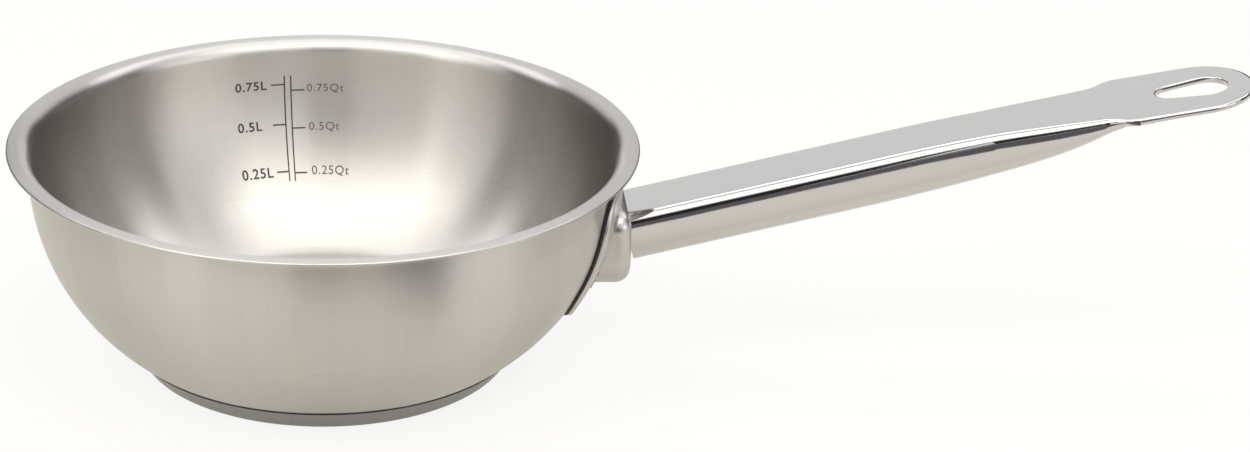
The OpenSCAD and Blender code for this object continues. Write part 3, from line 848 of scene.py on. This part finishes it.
def figure_mesh(text, weight):
    """A short text as flat (x, y) points and faces, from a text object that is then removed."""
    curve = bpy.data.curves.new("figures", "FONT")
    curve.body = text
    curve.offset = weight
    curve.space_character = FIGURE_SPACING
    holder = bpy.data.objects.new("figures", curve)
    bpy.context.scene.collection.objects.link(holder)
    flat = holder.evaluated_get(bpy.context.evaluated_depsgraph_get()).to_mesh()
    corners = np.array([v.co[:2] for v in flat.vertices])
    faces = [list(face.vertices) for face in flat.polygons]
    bpy.data.objects.remove(holder)
    return corners, faces


for text, angle, middle, width, material in label_places:
    flat, faces = figure_mesh(text, BOLD if material is etched_grey else THIN)
    low, high = flat.min(axis=0), flat.max(axis=0)
    across, rise = ((flat - low) / (high - low)).T
    height = middle + (rise - 0.5) * LETTER_H
    wrapped = on_wall(angle + across * float(degrees_for(width, middle)), height)
    mesh = bpy.data.meshes.new("figures")
    mesh.from_pydata((wrapped * MM).tolist(), [], faces)
    mesh.materials.append(material)
    figures = bpy.data.objects.new("etched_" + text.replace(".", "_"), mesh)
    bpy.context.scene.collection.objects.link(figures)
    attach(figures, "root")
print("figures:", [place[0] for place in label_places])

# %% [markdown]
# ## Camera
# The camera stands where the photograph's did. A round rim that is seen from higher up looks rounder, so
# tilt, distance and lens were worked out from the ellipses of rim, seam and base.

# %% Camera
CAMERA_PLACE = (0.0109, -0.7542, 0.3569)
CAMERA_AIM_TURN = 5.5
CAMERA_DROP = 22.841
CAMERA_ROLL = 2.276
CAMERA_LENS, CAMERA_SENSOR = 84.19, 36
turn, drop, roll = (math.radians(v) for v in (CAMERA_AIM_TURN, CAMERA_DROP, CAMERA_ROLL))
ahead = np.array([0, math.cos(drop), -math.sin(drop)])
level = np.array([1.0, 0, 0])
above = np.array([0, math.sin(drop), math.cos(drop)])
right = math.cos(roll) * level + math.sin(roll) * above
up = math.cos(roll) * above - math.sin(roll) * level
turned = np.array([[math.cos(turn), math.sin(turn), 0], [-math.sin(turn), math.cos(turn), 0], [0, 0, 1]])
axes = turned @ np.column_stack([right, up, -ahead])
camera = bpy.data.objects.new("camera", bpy.data.cameras.new("camera"))
camera.data.lens = CAMERA_LENS
camera.data.sensor_width = CAMERA_SENSOR
camera.matrix_world = Matrix.LocRotScale(Vector(CAMERA_PLACE), Matrix(axes.tolist()), None)
bpy.context.scene.collection.objects.link(camera)
bpy.context.scene.camera = camera
print(f"camera {np.linalg.norm(CAMERA_PLACE):.2f} m away, lens {CAMERA_LENS} mm")

# %% [markdown]
# ## The studio
# Bright metal has hardly a colour of its own: it shows what stands round it. So the studio is built for
# its reflections. The pan stands on a white sweep, and the world is white wherever the camera or a
# reflection meets it.

# %% Floor
WHITE = linear("#ffffff")
PAPER = linear("#f4f3f0")
PAPER_MIRRORED = linear("#fff9ec")
GLOW_SEEN, GLOW_MIRRORED = 0.87, 0.51  # share of white glow that the camera and a reflection meet
WORLD_SOFT = 0.45
FLOOR_HALF = 6.0


def flat_sheet(name, corners, material):
    """One flat sheet of the studio, from its corners in metres."""
    mesh = bpy.data.meshes.new(name)
    mesh.from_pydata(corners, [], [tuple(range(len(corners)))])
    mesh.materials.append(material)
    sheet = bpy.data.objects.new(name, mesh)
    bpy.context.scene.collection.objects.link(sheet)
    print("studio:", name)
    return sheet


def mirror_rays(tree, light_path):
    """One for a ray from a reflection or through glass, otherwise zero: the greater of the two shares."""
    return add(tree, "ShaderNodeMath", {"operation": "MAXIMUM"},
               {0: light_path.outputs["Is Glossy Ray"], 1: light_path.outputs["Is Transmission Ray"]})


sweep_white, tree, output = new_material("white_paper_sweep")
rays = add(tree, "ShaderNodeLightPath")
eye_share = add(tree, "ShaderNodeMath", {"operation": "MULTIPLY"},
                {0: rays.outputs["Is Camera Ray"], 1: GLOW_SEEN})
mirror_share = add(tree, "ShaderNodeMath", {"operation": "MULTIPLY"},
                   {0: mirror_rays(tree, rays).outputs[0], 1: GLOW_MIRRORED})
share = add(tree, "ShaderNodeMath", {"operation": "MAXIMUM"},
            {0: eye_share.outputs[0], 1: mirror_share.outputs[0]})
tint = add(tree, "ShaderNodeMix", {"data_type": "RGBA"},
           {"Factor": rays.outputs["Is Camera Ray"], COLOUR_A: PAPER_MIRRORED, COLOUR_B: WHITE})
paper = add(tree, "ShaderNodeBsdfDiffuse", None, {"Color": PAPER})
glow = add(tree, "ShaderNodeEmission", None, {"Color": tint.outputs[MIXED_COLOUR], "Strength": 1.0})
mixed = add(tree, "ShaderNodeMixShader", None,
            {0: share.outputs[0], 1: paper.outputs[0], 2: glow.outputs[0]})
tree.links.new(mixed.outputs[0], output.inputs["Surface"])
flat_sheet("floor", [(x * FLOOR_HALF, y * FLOOR_HALF, 0) for x, y in ((-1, -1), (1, -1), (1, 1), (-1, 1))],
           sweep_white)

# %% The world
world = bpy.data.worlds.new("white_studio")
bpy.context.scene.world = world
world.use_nodes = True
tree = world.node_tree
tree.nodes.clear()
rays = add(tree, "ShaderNodeLightPath")
seen = add(tree, "ShaderNodeMath", {"operation": "MAXIMUM"},
           {0: rays.outputs["Is Camera Ray"], 1: mirror_rays(tree, rays).outputs[0]})
soft = add(tree, "ShaderNodeBackground", None, {"Color": WHITE, "Strength": WORLD_SOFT})
white = add(tree, "ShaderNodeBackground", None, {"Color": WHITE, "Strength": 1.0})
mixed = add(tree, "ShaderNodeMixShader", None,
            {0: seen.outputs[0], 1: soft.outputs[0], 2: white.outputs[0]})
tree.links.new(mixed.outputs[0], add(tree, "ShaderNodeOutputWorld").inputs["Surface"])
print("world:", world.name)

# %% [markdown]
# ### Soft light
# Two wide softboxes hang overhead, one in front of the pan and one behind it. The slot between them is
# the thin grey line along the handle's edge. Two small ones stand low at the sides and draw the bright
# strips in the bowl. A photographer sets a softbox by how bright its face looks. Watts are that
# brightness times pi times its area.

# %% Softboxes


def softbox(name, place, aim, size, brightness, tint="#ffffff"):
    """A rectangular light at place, turned to aim: watts are brightness times pi times area in metres."""
    lamp = bpy.data.lights.new(name, "AREA")
    lamp.shape = "RECTANGLE"
    lamp.size, lamp.size_y = size
    lamp.energy = brightness * math.pi * size[0] * size[1]
    lamp.color = linear(tint)[:3]
    light = bpy.data.objects.new(name, lamp)
    light.location = place
    light.rotation_euler = (Vector(place) - Vector(aim)).to_track_quat("Z", "Y").to_euler()
    light.visible_camera = False
    bpy.context.scene.collection.objects.link(light)
    print(f"{name}: {lamp.energy:.2f} W")


PAN_MIDDLE = (0.0, 0.0, 0.05)
softbox("front_overhead_softbox", (-0.16, -0.49, 0.85), (-0.16, -0.49, 0.0), (1.64, 0.76), 2.35, "#fffcf2")
softbox("back_overhead_softbox", (0.0, 0.42, 0.85), (0.0, 0.42, 0.0), (2.6, 0.36), 1.6)
softbox("left_softbox", (-0.57, -0.82, 0.16), PAN_MIDDLE, (0.85, 0.28), 1.66)
softbox("right_softbox", (0.81, -0.58, 0.17), PAN_MIDDLE, (0.55, 0.34), 1.5)

# %% [markdown]
# ### The dim room
# Beyond the lights a studio is dim. Dark cards stand for that room: without them the bowl's inner sides
# and the line along the handle would have nothing dark to show. Only reflections see them; they throw no
# shadow. The card on the table in front reaches in near the pan's foot, and there it is painted shade:
# it stands for the pan's shade on the floor, as the bowl's lower belly reflects it.

# %% Cards


def card_finish(name, colour):
    """Matt card of one tone, as its only task is to be seen in the metal."""
    material, tree, output = new_material(name)
    felt = add(tree, "ShaderNodeBsdfDiffuse", None, {"Color": linear(colour)})
    tree.links.new(felt.outputs[0], output.inputs["Surface"])
    return material


def wall_corners(start, end, top):
    """An upright card on the floor from start to end, both (x, y), as high as top."""
    return [(*start, 0.0), (*end, 0.0), (*end, top), (*start, top)]


room_dark = card_finish("room_dark_card", "#3a3839")
dusk_grey = card_finish("dusk_grey_card", "#625f65")
ROOM_SIDE, ROOM_BACK = 1.3, 2.6
WIDE, FRONT = 1.5, -1.5
room_walls = {  # start, end and height
    "left_room_card": ((-ROOM_SIDE, -0.23), (-ROOM_SIDE, ROOM_BACK), 1.02),
    "right_room_card": ((ROOM_SIDE, -0.22), (ROOM_SIDE, ROOM_BACK), 0.95),
    "back_left_room_card": ((-ROOM_SIDE, ROOM_BACK), (-0.72, ROOM_BACK), 1.3),
    "back_right_room_card": ((0.8, ROOM_BACK), (ROOM_SIDE, ROOM_BACK), 1.2),
    "front_room_card": ((-1.4, -1.49), (0.22, -1.49), 0.96),
}
cards = [flat_sheet(name, wall_corners(*wall), room_dark) for name, wall in room_walls.items()]
LOW_FOOT, LOW_TOP = 0.06, 0.27
low_corners = [(-WIDE, LOW_FOOT), (WIDE, LOW_FOOT), (WIDE, LOW_TOP), (-WIDE, LOW_TOP)]
cards.append(flat_sheet("front_low_card", [(x, FRONT, z) for x, z in low_corners], dusk_grey))
# the dark table in front of the pan; its points nearest the pan reach in towards the foot, where they paint
# the pan's shade on the floor as reflections see it
table_and_foot_shade_edge = [(-WIDE, FRONT), (WIDE, FRONT), (WIDE, -0.21), (0.2, -0.19), (0.08, -0.12),
              (0.05, -0.25), (-0.1, -0.32), (-WIDE, -0.32)]
cards.append(flat_sheet("front_table_and_foot_shade_card", [(x, y, MM) for x, y in table_and_foot_shade_edge], dusk_grey))
for card in cards:
    card.visible_camera = False
    card.visible_shadow = False
    card.visible_diffuse = False

bpy.context.scene.view_settings.view_transform = "Standard"
